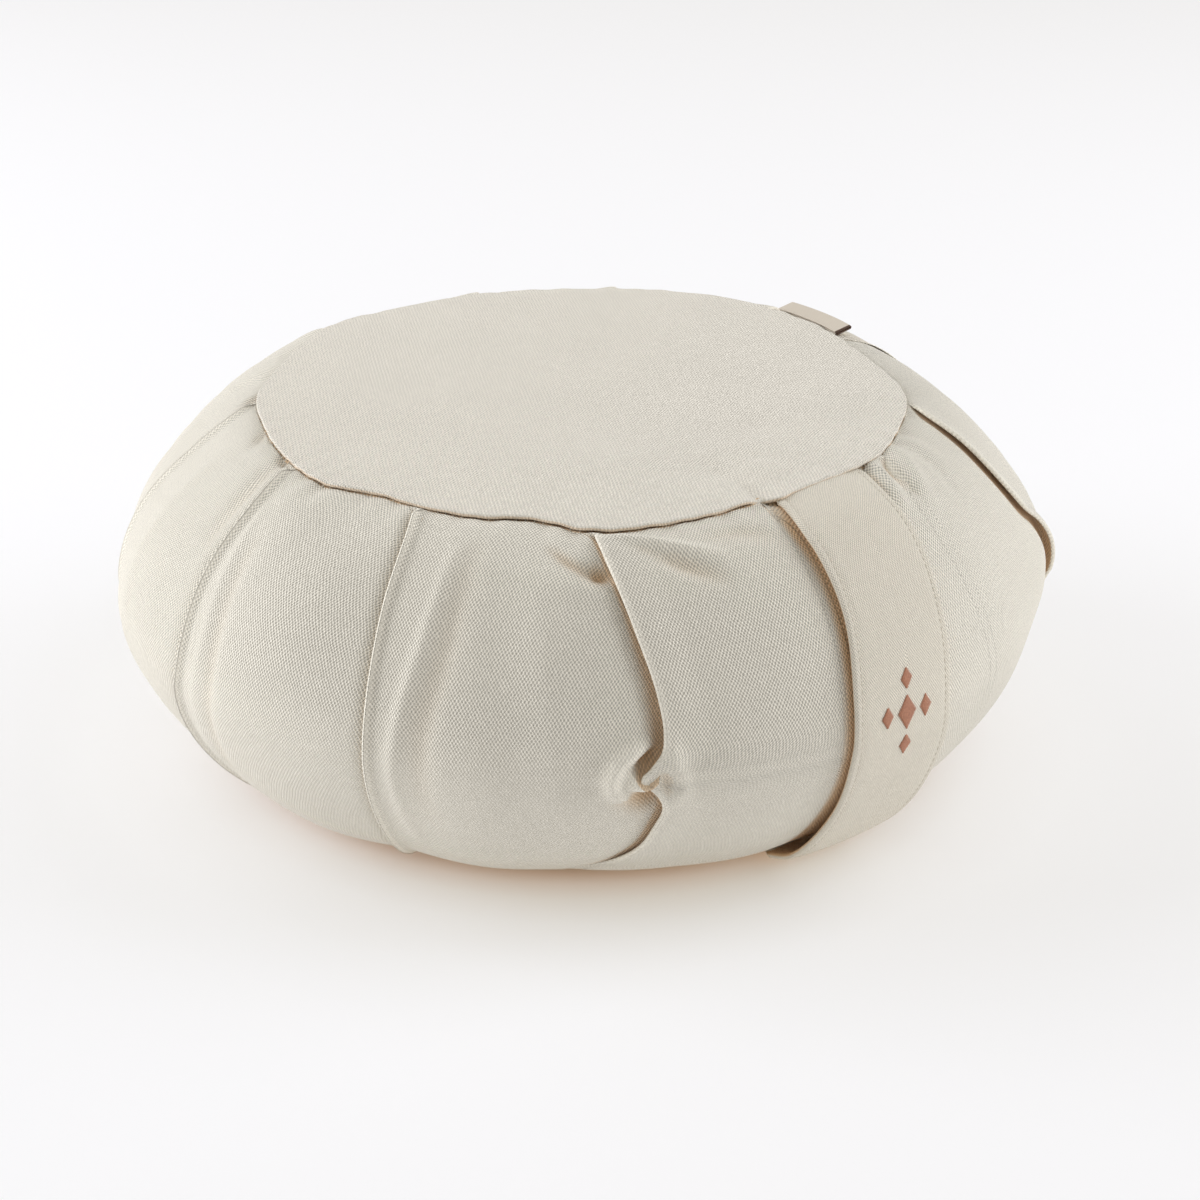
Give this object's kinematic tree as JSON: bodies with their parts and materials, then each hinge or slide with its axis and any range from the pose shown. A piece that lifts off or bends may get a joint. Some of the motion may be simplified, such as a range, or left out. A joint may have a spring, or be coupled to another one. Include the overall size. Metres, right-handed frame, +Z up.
{
  "type": "zafu meditation cushion",
  "caption": "Round firm floor cushion with flat cloth top, side gathered in knife pleats and a carry strap.",
  "frame": {"origin": "centre of the flat bottom panel, on the floor", "axes": "+Z up through the middle of the top panel, +X towards the carry strap"},
  "size_m": [0.4047, 0.3973, 0.1536],
  "materials": {
    "canvas": "natural unbleached plain-weave cotton canvas, matt",
    "strap_canvas": "finer plain-weave cotton, slightly warmer, edge-stitched",
    "woven_tape": "beige woven tape with a brown end line, no lettering"
  },
  "bodies": {
    "root": {"side_band": "canvas", "top_panel": "canvas", "bottom_panel": "canvas", "carry_strap": "strap_canvas", "label_tab": "woven_tape"}
  },
  "joints": []
}
